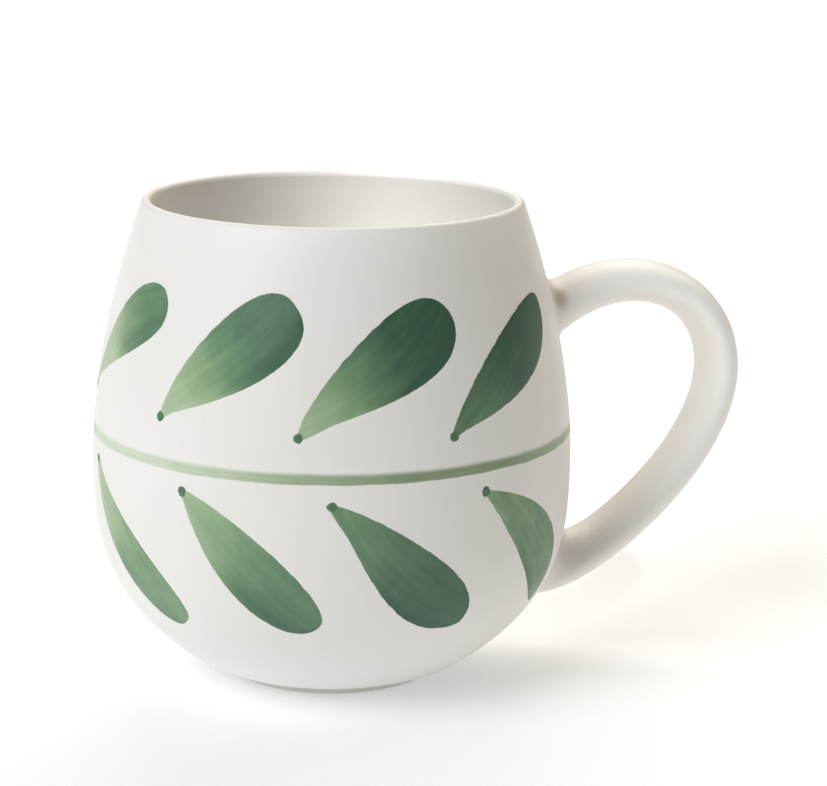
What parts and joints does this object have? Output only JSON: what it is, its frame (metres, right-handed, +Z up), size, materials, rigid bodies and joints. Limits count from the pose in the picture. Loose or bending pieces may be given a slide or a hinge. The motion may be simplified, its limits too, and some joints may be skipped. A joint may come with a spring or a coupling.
{
  "type": "handled mug",
  "caption": "Barrel-shaped stoneware mug with a looped strap handle, a rounded lip and a low foot ring.",
  "frame": {"origin": "on the surface the mug stands on, at the middle of its footprint box with the handle included; the body's own axis is 18.7 mm from it towards -X", "axes": "+Z up along the body's axis, +X towards the handle, whose middle plane is the XZ plane"},
  "size_m": [0.1336, 0.096, 0.0958],
  "materials": {
    "satin_white_glaze": "satin off-white glaze over pale stoneware, with fine mottling",
    "glazed_slip": "the same satin glaze over wiped slip",
    "liner_glaze": "smooth satin glaze, a little warmer and glossier than the outside",
    "painted_pigment": "brushed translucent green pigment under the satin glaze"
  },
  "bodies": {
    "root": {"body": "satin_white_glaze", "handle": "satin_white_glaze", "upper_slip_joint": "glazed_slip", "lower_slip_joint": "glazed_slip", "liner_glaze": "liner_glaze"}
  },
  "joints": []
}
